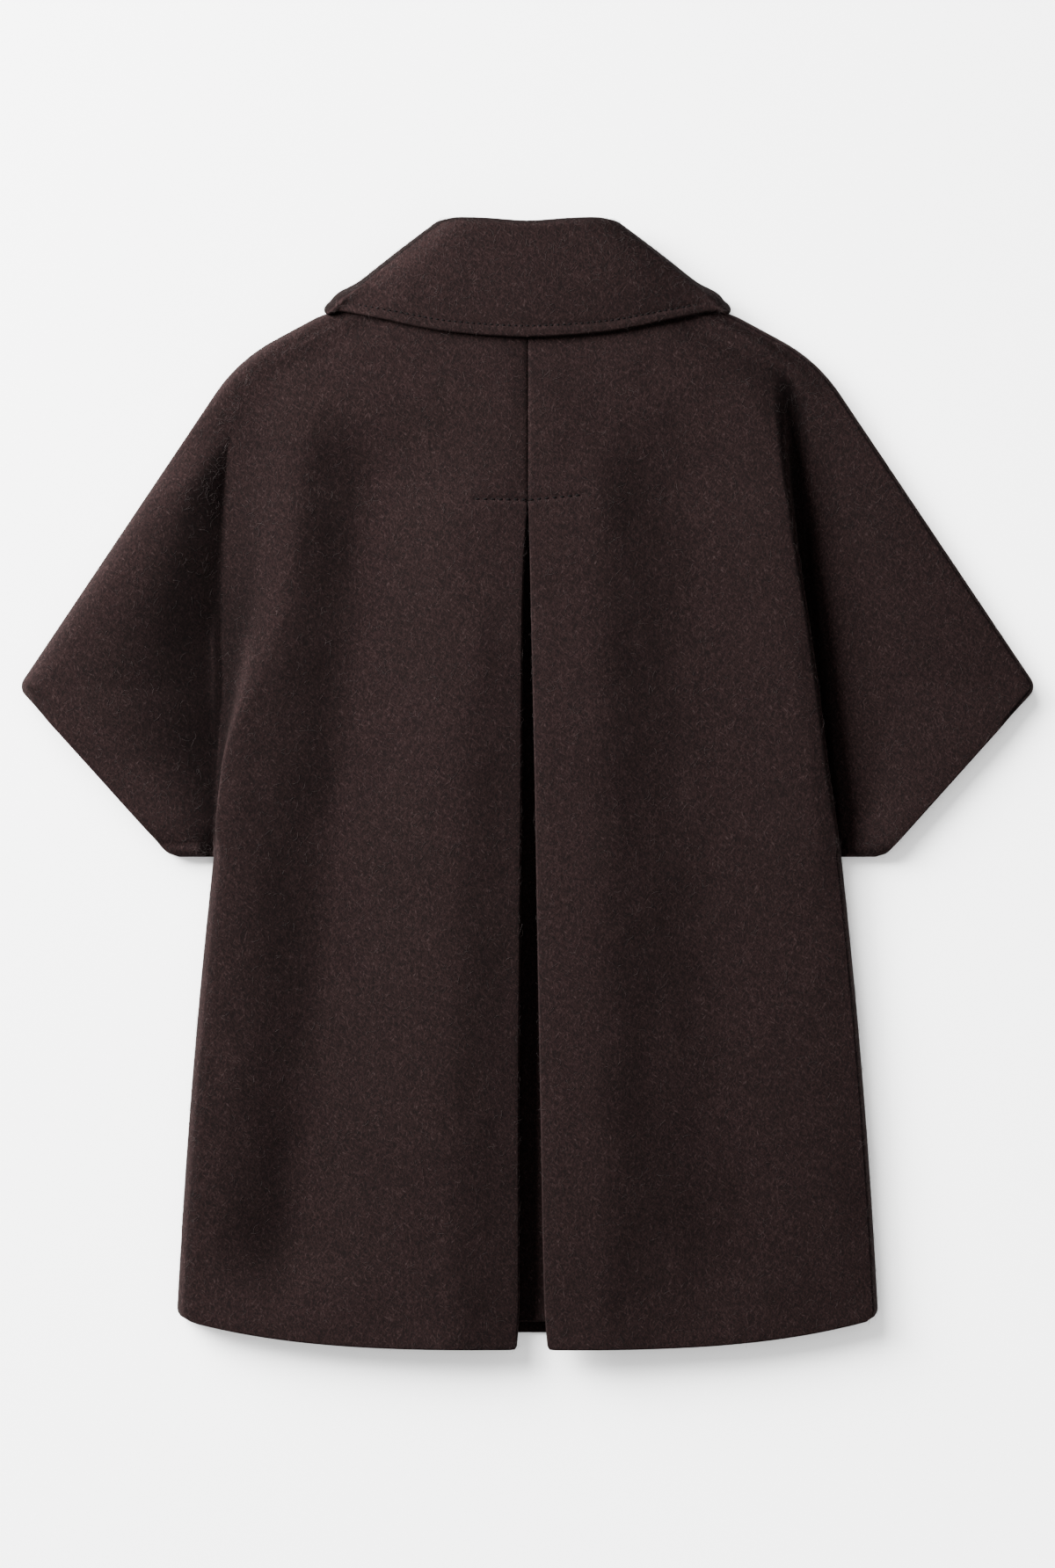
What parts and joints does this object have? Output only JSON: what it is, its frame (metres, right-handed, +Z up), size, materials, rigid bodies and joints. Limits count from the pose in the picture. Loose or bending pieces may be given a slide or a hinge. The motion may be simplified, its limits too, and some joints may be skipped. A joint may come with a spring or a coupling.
{
  "type": "short coat laid flat",
  "caption": "Short wool coat lying flat with its back up: wide collar, short wide sleeves cut in one with the body, and an inverted pleat down the back.",
  "frame": {"origin": "centre of the coat's outline, on the surface it lies on", "axes": "+Z up out of that surface, +Y towards the collar, +X towards the sleeve that lies right when seen from above"},
  "size_m": [0.7848, 0.8816, 0.0339],
  "materials": {
    "wool": "brushed, felted dark brown wool with a short nap"
  },
  "bodies": {
    "root": {"back_left": "wool", "back_right": "wool", "front_left": "wool", "front_right": "wool", "pleat_underlay": "wool", "collar": "wool"}
  },
  "joints": []
}
